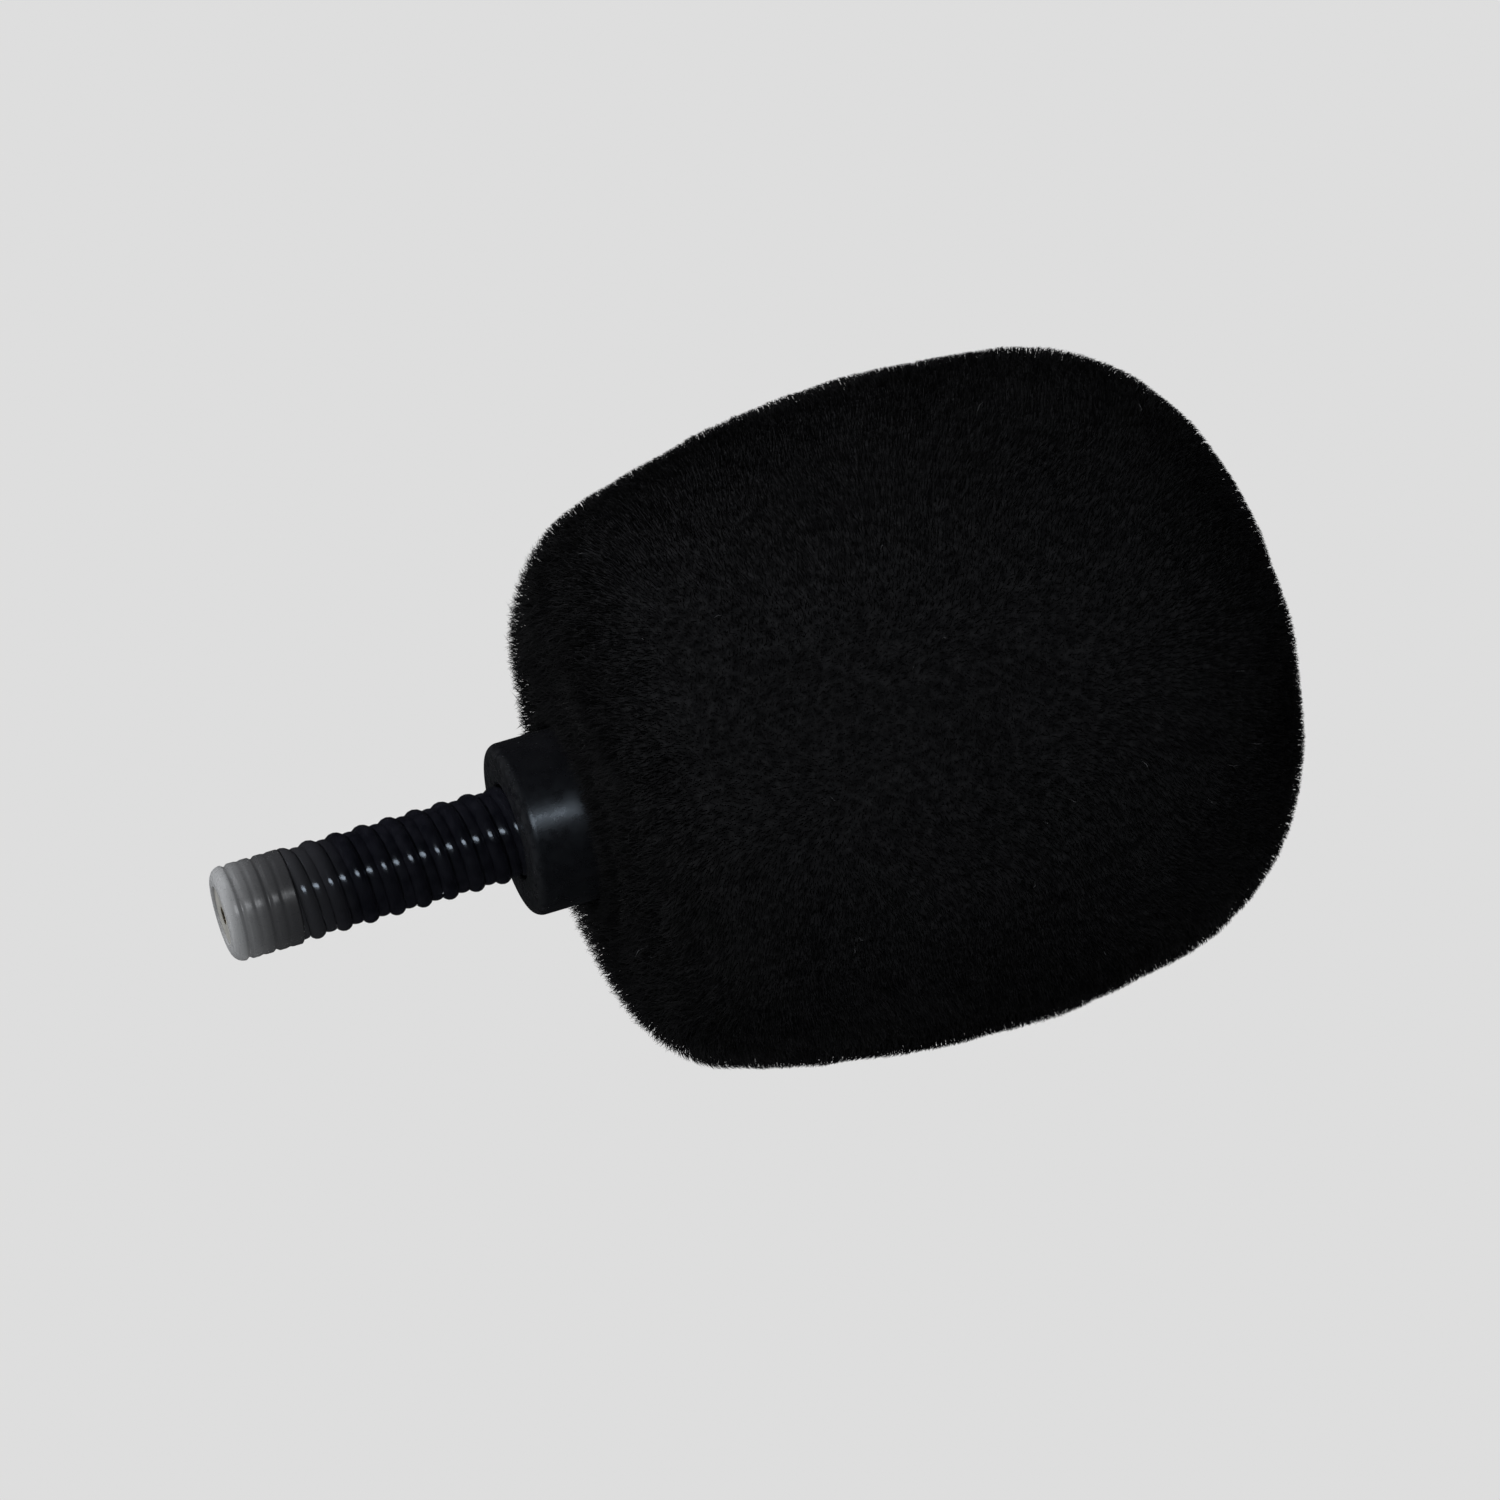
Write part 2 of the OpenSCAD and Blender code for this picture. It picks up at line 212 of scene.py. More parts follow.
def lathe(name, profile, finish, segments, warp=None, sharp_deg=35):
    """A solid turned from a closed profile of (radius, height); a profile that starts and ends on the
    axis closes there in poles. warp moves the points before the mesh is made."""
    on_axis = 1e-9
    turns = np.arange(segments) * 2 * math.pi / segments
    circle = np.stack([np.cos(turns), np.sin(turns)], 1)
    points, rings = [], []
    for radius, height in profile:
        start = len(points)
        if radius < on_axis:
            points.append((0.0, 0.0, height))
            rings.append([start] * segments)
        else:
            points.extend((radius * x, radius * y, height) for x, y in circle)
            rings.append(list(range(start, start + segments)))
    poles = profile[0][0] < on_axis
    faces = []
    for a, b in zip(rings, rings[1:] + rings[:1]):
        if poles and b is rings[0]:
            break
        for i in range(segments):
            j = (i + 1) % segments
            face = [a[i], a[j], b[j], b[i]]
            faces.append(list(dict.fromkeys(face)))
    points = np.array(points)
    if warp:
        points = warp(points)
    return shown(name, mesh_of(name, points, faces), finish, sharp_deg)


def tube(points, radius, sides=8):
    """Points and faces of a closed round tube swept along a path of points."""
    path = np.array(points)
    ahead = np.gradient(path, axis=0)
    ahead /= np.linalg.norm(ahead, axis=1)[:, None]
    slant = [0.3, 0.5, 0.81]
    side = np.cross(ahead, slant)
    side /= np.linalg.norm(side, axis=1)[:, None]
    other = np.cross(ahead, side)
    rings = []
    for i in range(len(path)):
        for k in range(sides):
            a = 2 * math.pi * k / sides
            rings.append(path[i] + radius * (math.cos(a) * side[i] + math.sin(a) * other[i]))
    faces = []
    for i in range(len(path) - 1):
        for k in range(sides):
            n = (k + 1) % sides
            faces.append([i * sides + k, i * sides + n, (i + 1) * sides + n, (i + 1) * sides + k])
    faces.append(list(range(sides)))
    faces.append([(len(path) - 1) * sides + k for k in range(sides)])
    return rings, faces


# ---------------------------------------------------------------- finishes
class Finish:
    """A node-based material on one Principled shader, its patterns fixed to the piece itself."""

    def __init__(self, name, metallic=0.0, specular=0.5, sheen=0.0, shine=(1.0, 1.0, 1.0)):
        self.material = bpy.data.materials.new(name)
        self.material.use_nodes = True
        self.nodes = self.material.node_tree.nodes
        self.links = self.material.node_tree.links
        self.shader = self.nodes["Principled BSDF"]
        self.shader.inputs["Metallic"].default_value = metallic
        self.shader.inputs["Specular IOR Level"].default_value = specular
        self.shader.inputs["Specular Tint"].default_value = (*shine, 1.0)
        self.shader.inputs["Sheen Weight"].default_value = sheen
        self.place = self.nodes.new("ShaderNodeTexCoord").outputs["Object"]

    def stretched(self, stretch):
        mapping = self.nodes.new("ShaderNodeMapping")
        mapping.inputs["Scale"].default_value = stretch
        self.links.new(self.place, mapping.inputs["Vector"])
        return mapping.outputs["Vector"]

    def noise(self, grain, detail=3.0, stretch=(1, 1, 1), low=0.35, high=0.65):
        """A cloudy pattern with patches about one grain wide, stretched to fill 0 to 1."""
        noise = self.nodes.new("ShaderNodeTexNoise")
        noise.inputs["Scale"].default_value = 1 / grain
        noise.inputs["Detail"].default_value = detail
        self.links.new(self.stretched(stretch), noise.inputs["Vector"])
        return self.spread(noise.outputs["Fac"], low, high)

    def cells(self, grain):
        """Distance from the middle of round cells one grain wide."""
        cells = self.nodes.new("ShaderNodeTexVoronoi")
        cells.inputs["Scale"].default_value = 1 / grain
        self.links.new(self.place, cells.inputs["Vector"])
        return cells.outputs["Distance"]

    def spread(self, value, low, high, to_low=0.0, to_high=1.0):
        """A value stretched so that low to high becomes to_low to to_high, and cut off there."""
        scale = self.nodes.new("ShaderNodeMapRange")
        limits = {"From Min": low, "From Max": high, "To Min": to_low, "To Max": to_high}
        for socket, number in limits.items():
            scale.inputs[socket].default_value = number
        self.links.new(value, scale.inputs["Value"])
        return scale.outputs["Result"]

    def height(self, low, high):
        """1 at the height low, fading to 0 at the height high."""
        split = self.nodes.new("ShaderNodeSeparateXYZ")
        self.links.new(self.place, split.inputs["Vector"])
        return self.spread(split.outputs["Z"], low, high, 1.0, 0.0)

    def wear(self):
        """1 at the gooseneck's lower end, dying away over the ferrule."""
        steepness = 6.0
        power = self.nodes.new("ShaderNodeMath")
        power.operation = "POWER"
        self.links.new(self.height(0.0, FLEX_LOW + 4 * MM), power.inputs[0])
        power.inputs[1].default_value = steepness
        return power.outputs[0]

    def times(self, a, b):
        node = self.nodes.new("ShaderNodeMath")
        node.operation = "MULTIPLY"
        self.links.new(a, node.inputs[0])
        self.links.new(b, node.inputs[1])
        return node.outputs[0]

    def mix(self, factor, a, b):
        """A colour that goes from a to b; each is a colour or a socket."""
        mix = self.nodes.new("ShaderNodeMix")
        mix.data_type = "RGBA"
        self.links.new(factor, mix.inputs["Factor"])
        for name, value in (("A", a), ("B", b)):
            socket = next(s for s in mix.inputs if s.name == name and s.type == "RGBA")
            if isinstance(value, tuple):
                socket.default_value = (*value, 1.0)
            else:
                self.links.new(value, socket)
        return next(s for s in mix.outputs if s.type == "RGBA")

    def colour(self, socket):
        self.links.new(socket, self.shader.inputs["Base Color"])

    def roughness(self, pattern, low, high):
        self.links.new(self.spread(pattern, 0, 1, low, high), self.shader.inputs["Roughness"])

    def relief(self, pattern, depth):
        bump = self.nodes.new("ShaderNodeBump")
        bump.inputs["Distance"].default_value = depth
        bump.inputs["Strength"].default_value = 1.0
        self.links.new(pattern, bump.inputs["Height"])
        self.links.new(bump.outputs["Normal"], self.shader.inputs["Normal"])


def grained(name, dark, light, rough, grain, depth, stretch=(1, 1, 1), **shader):
    """A finish that drifts between two colours and two roughnesses, with a fine relief."""
    finish = Finish(name, **shader)
    broad = finish.noise(grain * 6, stretch=stretch)
    fine = finish.noise(grain, stretch=stretch)
    finish.colour(finish.mix(broad, dark, light))
    finish.roughness(fine, *rough)
    finish.relief(fine, depth)
    return finish.material


def barrel_finish():
    """Satin black anodising over bead-blasted aluminium, rubbed grey at the lower rim."""
    finish = Finish("satin_black_anodised", specular=0.8, shine=BLUE_SHINE)
    blast = finish.noise(0.09 * MM, 2.0)
    rim = finish.height(BARREL_LOW.z + 0.15 * MM, BARREL_LOW.z + 0.55 * MM)
    rub = finish.times(rim, finish.noise(0.5 * MM, 4.0, low=0.3, high=0.6))
    body = finish.mix(finish.noise(1.6 * MM, 4.0), (0.0022, 0.0022, 0.0028), (0.0038, 0.0038, 0.0046))
    finish.colour(finish.mix(rub, body, (0.01, 0.01, 0.011)))
    finish.roughness(finish.noise(0.7 * MM, 4.0), 0.24, 0.34)
    finish.relief(blast, 0.002 * MM)
    return finish.material


def neck_finish():
    """Glossy blackened spring wire, worn to grey towards the ferrule."""
    finish = Finish("gloss_black_wire", specular=0.85, shine=BLUE_SHINE)
    worn = finish.height(FLEX_LOW, FLEX_LOW + 3.6 * MM)
    body = finish.mix(finish.noise(0.8 * MM, 4.0), (0.0022, 0.0022, 0.0036), (0.005, 0.005, 0.0072))
    finish.colour(finish.mix(worn, body, (0.02, 0.02, 0.022)))
    finish.roughness(finish.noise(0.35 * MM, 5.0), 0.11, 0.19)
    finish.relief(finish.noise(0.12 * MM, 3.0), 0.0012 * MM)
    return finish.material


def ferrule_finish():
    """Dull grey metal, with what is left of a black finish towards the coil."""
    finish = Finish("dull_grey_ferrule", metallic=0.25, specular=0.5)
    turned = finish.noise(0.05 * MM, 2.0, stretch=(0.02, 0.02, 1))
    turning_marks = tuple(0.85 * c for c in WORN_GREY)
    grey = finish.mix(turned, WORN_GREY, turning_marks)
    finish.colour(finish.mix(finish.wear(), (0.027, 0.027, 0.029), grey))
    finish.roughness(finish.noise(0.4 * MM, 4.0), 0.24, 0.36)
    finish.relief(turned, 0.001 * MM)
    return finish.material


def backing_finish():
    """Near-black knitted backing with its pile worn into faint tufts."""
    finish = Finish("fur_backing", specular=0.1)
    tufts = finish.noise(0.55 * MM, 4.0)
    finish.colour(finish.mix(tufts, (0.004, 0.004, 0.0045), (0.012, 0.012, 0.013)))
    finish.roughness(finish.noise(0.3 * MM, 3.0), 0.85, 1.0)
    finish.relief(tufts, 0.12 * MM)
    return finish.material


def foam_finish():
    """Dark open-cell foam, with painted shade that makes the hollow middle of each cell blackest."""
    finish = Finish("open_cell_foam", specular=0.15)
    cells = finish.cells(0.42 * MM)
    walls = finish.spread(cells, 0.15, 0.6)
    # Painted shade: each cell's hollow middle is coloured darker than its walls
    finish.colour(finish.mix(walls, (0.004, 0.004, 0.005), (0.03, 0.03, 0.032)))
    finish.roughness(finish.noise(0.5 * MM, 3.0), 0.8, 1.0)
    finish.relief(cells, 0.2 * MM)
    return finish.material


def cloth_finish(name, dark, light, thread):
    """Woven or knitted cloth: two crossing sets of threads."""
    one_band = 0.31
    finish = Finish(name, specular=0.2, sheen=0.1)
    waves = []
    for axis in ("X", "Z"):
        wave = finish.nodes.new("ShaderNodeTexWave")
        wave.bands_direction = axis
        wave.inputs["Scale"].default_value = one_band / thread
        wave.inputs["Distortion"].default_value = 0.8
        finish.links.new(finish.place, wave.inputs["Vector"])
        waves.append(wave.outputs["Fac"])
    weave = finish.times(*waves)
    finish.colour(finish.mix(weave, dark, light))
    finish.roughness(finish.noise(thread * 4, 3.0), 0.75, 0.95)
    finish.relief(weave, thread * 0.3)
    return finish.material


def board_finish():
    """Green solder mask with copper tracks showing faintly through it."""
    finish = Finish("green_board", specular=0.5)
    tracks = finish.noise(0.5 * MM, 0.0, stretch=(1, 0.2, 1), low=0.49, high=0.51)
    finish.colour(finish.mix(tracks, (0.02, 0.1, 0.035), (0.04, 0.17, 0.06)))
    finish.roughness(finish.noise(0.3 * MM, 3.0), 0.3, 0.45)
    finish.relief(tracks, 0.02 * MM)
    return finish.material


def pile_shade(name, grey, rough=0.9, specular=0.06):
    """One dye shade of the fibres, a little blue. The pile is mixed from several, so each stays plain."""
    material = bpy.data.materials.new(name)
    material.use_nodes = True
    shader = material.node_tree.nodes["Principled BSDF"]
    shader.inputs["Base Color"].default_value = (grey, grey, grey * 1.06, 1.0)
    shader.inputs["Roughness"].default_value = rough
    shader.inputs["Specular IOR Level"].default_value = specular
    return material


def pile_materials():
    """Four near-blacks, and the pale shade of the few stray fibres."""
    greys = (0.003, 0.0045, 0.0065, 0.009)
    shades = [pile_shade(f"pile_black_{i + 1}", grey) for i, grey in enumerate(greys)]
    return shades + [pile_shade("pile_stray_fibre", 0.07, rough=0.5, specular=0.4)]


BLACK_RUBBER = grained(
    "black_rubber", (0.010,) * 3, (0.018,) * 3, (0.55, 0.75), 0.15 * MM, 0.006 * MM, specular=0.4)
BLACK_PLASTIC = grained("black_plastic", (0.012,) * 3, (0.02,) * 3, (0.35, 0.5), 0.12 * MM, 0.004 * MM)
BRASS = grained(
    "turned_brass", (0.5, 0.33, 0.11), (0.68, 0.47, 0.18), (0.22, 0.38), 0.1 * MM, 0.002 * MM,
    stretch=(0.1, 0.1, 1), metallic=1.0)
CAN_METAL = grained(
    "capsule_aluminium", (0.5, 0.51, 0.53), (0.66, 0.67, 0.69), (0.25, 0.4), 0.12 * MM, 0.002 * MM,
    stretch=(0.2, 0.2, 1), metallic=1.0)
FILM = grained(
    "metallised_film", (0.6, 0.61, 0.64), (0.78, 0.79, 0.82), (0.12, 0.25), 0.5 * MM, 0.002 * MM,
    metallic=0.8)
NATURAL_PLASTIC = grained(
    "natural_plastic", (0.68, 0.65, 0.57), (0.8, 0.77, 0.7), (0.35, 0.5), 0.2 * MM, 0.004 * MM)
AGED_PLASTIC = grained(
    "aged_natural_plastic", (0.2, 0.195, 0.18), (0.27, 0.262, 0.24), (0.4, 0.55), 0.2 * MM, 0.004 * MM)
SOLDER = grained(
    "solder", (0.45, 0.46, 0.48), (0.68, 0.69, 0.71), (0.2, 0.4), 0.15 * MM, 0.01 * MM, metallic=1.0)
RED_INSULATION = grained(
    "red_insulation", (0.27, 0.02, 0.015), (0.36, 0.035, 0.025), (0.35, 0.5), 0.2 * MM, 0.003 * MM)
BLACK_STEEL = grained(
    "black_steel", (0.07, 0.07, 0.075), (0.14, 0.14, 0.15), (0.3, 0.5), 0.08 * MM, 0.003 * MM,
    metallic=1.0)
CABLE_JACKET = grained("cable_jacket", (0.012,) * 3, (0.018,) * 3, (0.45, 0.6), 0.1 * MM, 0.003 * MM)
ELASTIC = cloth_finish("braided_elastic", (0.01,) * 3, (0.035,) * 3, 0.16 * MM)
HEM_CLOTH = cloth_finish("knitted_hem", (0.004,) * 3, (0.016, 0.016, 0.017), 0.14 * MM)
MESH_CLOTH = cloth_finish("acoustic_cloth", (0.012,) * 3, (0.05, 0.05, 0.052), 0.1 * MM)
PILE_SHADES = pile_materials()
BARREL = barrel_finish()
NECK = neck_finish()
FERRULE = ferrule_finish()

# The CAD nodes that stay as they are, with the finish of each
NODE_FINISHES = {
    "hem_elastic": ELASTIC, "grip_ring": BLACK_RUBBER, "grille_cap": BARREL, "acoustic_mesh": MESH_CLOTH,
    "capsule_can": CAN_METAL, "diaphragm_ring": BRASS, "diaphragm": FILM, "spacer_ring": FILM,
    "backplate": BRASS, "backplate_holder": NATURAL_PLASTIC, "capsule_board": board_finish(),
    "fet_chip": BLACK_PLASTIC, "solder_joints": SOLDER, "capsule_gasket": BLACK_RUBBER,
    "support_tube": BLACK_PLASTIC, "lead_wires": RED_INSULATION, "cable_grommet": BLACK_RUBBER,
    "neck_bush": BRASS, "set_screw": BLACK_STEEL, "end_insulator": AGED_PLASTIC, "centre_contact": BRASS,
}


def finish_nodes():
    for node, finish in NODE_FINISHES.items():
        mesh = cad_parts[node].data
        mesh.materials.clear()
        mesh.materials.append(finish)


# ---------------------------------------------------------------- camera, lights and floor
COOL_WHITE = (0.94, 0.97, 1.0)
WHITE = (1.0, 1.0, 1.0)
TENT_LIGHT = (0.95, 0.98, 1.0)
TENT_MIRRORED = (0.9, 0.95, 1.0)
MIRRORED_STRENGTH = 0.008


def view_axes():
    """The camera's right, up and back directions: the gooseneck end points a little towards it."""
    tilt = math.radians(12.4)
    roll = math.radians(16.3)
    back = Vector((0, -math.cos(tilt), -math.sin(tilt)))
    along = Vector((0, -math.sin(tilt), math.cos(tilt)))
    across = Vector((-1, 0, 0))
    right = math.cos(roll) * along - math.sin(roll) * across
    up = math.sin(roll) * along + math.cos(roll) * across
    return right, up, back


def facing(place, target):
    """A matrix at place whose -Z looks at target."""
    back = (place - target).normalized()
    right = Vector((0, 0, 1)).cross(back).normalized()
    up = back.cross(right)
    return Matrix.Translation(place) @ Matrix((right, up, back)).transposed().to_4x4()


def make_camera():
    right, up, back = view_axes()
    distance = 400 * MM
    aim = Vector((0, 0, BARREL_LOW.z)) + 14.79 * MM * right + 5.04 * MM * up
    camera = bpy.data.objects.new("camera", bpy.data.cameras.new("camera"))
    camera.data.lens = 156
    camera.data.sensor_width = 36
    camera.data.clip_start = 0.02
    camera.data.clip_end = 20
    camera.matrix_world = (
        Matrix.Translation(aim + distance * back) @ Matrix((right, up, back)).transposed().to_4x4()
    )
    bpy.context.scene.collection.objects.link(camera)
    bpy.context.scene.camera = camera


def make_light(name, towards, distance, size, power, colour, shines=True):
    """A soft lamp aimed at the object's middle from the direction towards; size is its width and
    length, the length along the gooseneck. One that does not shine lights matt surfaces only."""
    middle = Vector((0, 0, (BARREL_LOW.z + NOSE_Z) / 2))
    lamp = bpy.data.objects.new(name, bpy.data.lights.new(name, "AREA"))
    lamp.data.shape = "ELLIPSE"
    lamp.data.size, lamp.data.size_y = size
    lamp.data.energy = power
    lamp.data.color = colour
    lamp.matrix_world = facing(middle + towards.normalized() * distance, middle)
    lamp.visible_camera = False
    lamp.visible_glossy = shines
    bpy.context.scene.collection.objects.link(lamp)


def by_ray(tree, ray, met, otherwise):
    """Joins two shaders so that one kind of ray meets the first and every other the second."""
    path = tree.nodes.new("ShaderNodeLightPath")
    mix = tree.nodes.new("ShaderNodeMixShader")
    tree.links.new(path.outputs[f"Is {ray} Ray"], mix.inputs[0])
    tree.links.new(otherwise, mix.inputs[1])
    tree.links.new(met, mix.inputs[2])
    return mix.outputs[0]


def glow(tree, kind, colour, strength=1.0):
    """A plain background or emission shader."""
    node = tree.nodes.new(kind)
    node.inputs["Color"].default_value = (*colour, 1)
    node.inputs["Strength"].default_value = strength
    return node.outputs[0]


def make_world():
    """A light tent: a pale grey backdrop to look at, soft light on matt surfaces, and dark in mirrors."""
    world = bpy.data.worlds.new("studio")
    bpy.context.scene.world = world
    world.use_nodes = True
    tree = world.node_tree
    tree.nodes.remove(tree.nodes["Background"])
    backdrop = glow(tree, "ShaderNodeBackground", (0.730, 0.730, 0.730))
    soft = glow(tree, "ShaderNodeBackground", TENT_LIGHT, 0.52)
    mirrored = glow(tree, "ShaderNodeBackground", TENT_MIRRORED, MIRRORED_STRENGTH)
    light = by_ray(tree, "Diffuse", soft, mirrored)
    tree.links.new(by_ray(tree, "Camera", backdrop, light), tree.nodes["World Output"].inputs["Surface"])


def make_floor():
    """A wide pale floor below the object, as evenly lit as the backdrop."""
    half = 4.0
    drop = 0.5
    corners = [(-half, -half), (half, -half), (half, half), (-half, half)]
    mesh = mesh_of("floor", [(x, y, cad_box[0].z - drop) for x, y in corners], [[0, 1, 2, 3]])
    material = bpy.data.materials.new("pale_floor")
    material.use_nodes = True
    tree = material.node_tree
    shader = tree.nodes["Principled BSDF"]
    shader.inputs["Base Color"].default_value = (0.6, 0.6, 0.6, 1)
    shader.inputs["Roughness"].default_value = 1.0
    shader.inputs["Emission Color"].default_value = (*TENT_LIGHT, 1)
    shader.inputs["Emission Strength"].default_value = 0.5
    seen = glow(tree, "ShaderNodeEmission", (0.718, 0.718, 0.718))
    mirrored = glow(tree, "ShaderNodeEmission", TENT_MIRRORED, MIRRORED_STRENGTH)
    unseen = by_ray(tree, "Glossy", mirrored, shader.outputs[0])
    tree.links.new(by_ray(tree, "Camera", seen, unseen), tree.nodes["Material Output"].inputs["Surface"])
    mesh.materials.append(material)
    floor = bpy.data.objects.new("floor", mesh)
    bpy.context.scene.collection.objects.link(floor)


def make_studio():
    """Five lamps: a long key just above the camera, a soft one overhead, and three behind."""
    right, up, back = view_axes()
    key_rise = math.radians(5.5)
    key = back * math.cos(key_rise) + up * math.sin(key_rise)
    overhead = 0.65 * up - 0.75 * right + 0.1 * back
    left_rear = Vector((-0.8, 1.0, 0.2))
    right_rear = Vector((0.8, 1.0, 0.2))
    make_light("key", key, 0.62, (0.12, 0.48), 0.75, COOL_WHITE)
    make_light("overhead", overhead, 0.7, (0.5, 0.5), 5.2, (0.96, 0.98, 1.0), shines=False)
    make_light("behind", -back, 0.62, (0.07, 0.07), 0.8, COOL_WHITE)
    make_light("behind_left", left_rear, 0.5, (0.3, 0.3), 1.9, WHITE, shines=False)
    make_light("behind_right", right_rear, 0.5, (0.3, 0.3), 2.6, WHITE, shines=False)
    bpy.context.scene.view_settings.view_transform = "Standard"
    make_world()
    make_floor()


# ---------------------------------------------------------------- gooseneck
def helix(name, section, start, first_turn, last_turn, steps_per_turn=48):
    """A wire of the given (radius, height) section wound up a right-handed helix, ground flat below."""
    steps = math.ceil((last_turn - first_turn) * steps_per_turn)
    sides = len(section)
    points = []
    for i in range(steps + 1):
        turn = first_turn + (last_turn - first_turn) * i / steps
        ray = direction(2 * math.pi * turn)
        rise = start + PITCH * turn
        points.extend((r * ray[0], r * ray[1], rise + z) for r, z in section)
    faces = []
    for i in range(steps):
        for j in range(sides):
            n = (j + 1) % sides
            faces.append([i * sides + j, i * sides + n, (i + 1) * sides + n, (i + 1) * sides + j])
    faces.append(list(range(sides)))
    faces.append([steps * sides + j for j in range(sides)])
    mesh = mesh_of(name, points, faces)
    if first_turn < 0:
        grind_flat(mesh)
    return shown(name, mesh, NECK, sharp_deg=50)


def grind_flat(mesh):
    """Cuts the mesh off at the coil's lower end and closes it there."""
    edit = bmesh.new()
    edit.from_mesh(mesh)
    everything = edit.verts[:] + edit.edges[:] + edit.faces[:]
    bmesh.ops.bisect_plane(
        edit, geom=everything, plane_co=(0, 0, COIL_LOW), plane_no=(0, 0, 1), clear_inner=True)
    rim = [e for e in edit.edges if e.is_boundary]
    bmesh.ops.holes_fill(edit, edges=rim, sides=0)
    bmesh.ops.triangulate(edit, faces=[f for f in edit.faces if len(f.verts) > 4])
    edit.to_mesh(mesh)
    edit.free()


def round_section(sides=16):
    angles = np.arange(sides) * 2 * math.pi / sides
    return [(COIL_R + WIRE_R * math.cos(a), WIRE_R * math.sin(a)) for a in angles]


def wedge_section():
    """The wedge wire: a narrow foot inside and a crowned face outside."""
    foot_r = NECK_R - 0.55 * MM
    foot_half = 0.18 * MM
    face_r = NECK_R - 0.27 * MM
    face_half = 0.32 * MM
    crown = 0.07 * MM
    face = [
        (face_r + crown * (1 - (z / face_half) ** 2), z) for z in np.linspace(-face_half, face_half, 7)
    ]
    return face + [(foot_r, foot_half), (foot_r, -foot_half)]


def link_heights():
    """Where one link's length of gooseneck ends and the next begins, from the ferrule to the barrel."""
    return [FLEX_LOW + (FLEX_HIGH - FLEX_LOW) * k / IN_BARREL for k in range(IN_BARREL + 1)]


def follow_link(piece, k):
    """Makes length k of a wire or the cable ride in the barrel when it is the last; any other length only
    has its placement baked into its mesh.
    """
    if k == IN_BARREL:
        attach(piece, LINKS[k])
        return
    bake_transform(piece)


def make_wires():
    heights = link_heights() + [COIL_TOP - WIRE_R]
    for kind, node, section, start in (
        ("round_wire", "coil_wire", round_section(), WIRE_START),
        ("wedge_wire", "wedge_wire", wedge_section(), WIRE_START - PITCH / 2),
    ):
        for k in range(len(LINKS)):
            first = -HIDDEN_TURNS if k == 0 else (heights[k] - start) / PITCH
            last = (heights[k + 1] - start) / PITCH
            piece = helix(f"gooseneck_{kind}_{k + 1}", section, start, first, last)
            follow_link(piece, k)
            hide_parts(f"{node}_{k + 1}")


def make_cable():
    ring_step = 0.5 * MM
    heights = [CABLE_LOW, *link_heights()[1:], CABLE_TOP]
    for k in range(len(LINKS)):
        low, high = heights[k], heights[k + 1]
        rings = np.linspace(low, high, max(4, round((high - low) / ring_step)))
        profile = [(0, low)] + [(CABLE_R, z) for z in rings] + [(0, high)]
        piece = lathe(f"gooseneck_cable_{k + 1}", profile, CABLE_JACKET, segments=32)
        follow_link(piece, k)
        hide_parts(f"cable_{k + 1}")


def make_ferrule():
    """Turned ferrule with a rounded end, two soft rolled grooves with a fainter line after each, and
    the spigot inside the coil."""
    end_r = 0.75 * MM
    groove_depth = 0.14 * MM
    line_depth = 0.05 * MM
    groove_half = 0.26 * MM
    chamfer = 0.15 * MM
    nick = 0.08 * MM
    pocket_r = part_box("end_insulator")[1].x + 0.02 * MM
    pocket_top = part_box("end_insulator")[1].z + 0.02 * MM
    spigot_r = COIL_R - WIRE_R - 0.08 * MM
    bore_r = CABLE_R + 0.05 * MM
    outside = [(pocket_r, 0)]
    for a in np.linspace(-math.pi / 2, 0, 13):
        outside.append((NECK_R - end_r + end_r * math.cos(a), end_r + end_r * math.sin(a)))
    for half_turns_below in (4, 3, 2, 1):
        middle = FLEX_LOW - half_turns_below * PITCH / 2
        depth = groove_depth if half_turns_below % 2 == 0 else line_depth
        for t in np.linspace(-1, 1, 11):
            dip = depth * (0.5 + 0.5 * math.cos(math.pi * t))
            height = middle + groove_half * t
            if height > end_r:
                outside.append((NECK_R - dip, height))
    inside = [
        (spigot_r, FLEX_LOW), (spigot_r, FERRULE_TOP - chamfer), (spigot_r - chamfer, FERRULE_TOP),
        (bore_r, FERRULE_TOP), (bore_r, pocket_top), (pocket_r, pocket_top),
    ]
    rim = [(NECK_R, FLEX_LOW - nick), (NECK_R - nick, FLEX_LOW)]
    piece = lathe("ferrule", outside + rim + inside, FERRULE, segments=160, sharp_deg=40)
    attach(piece, "gooseneck_base")
    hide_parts("end_ferrule")


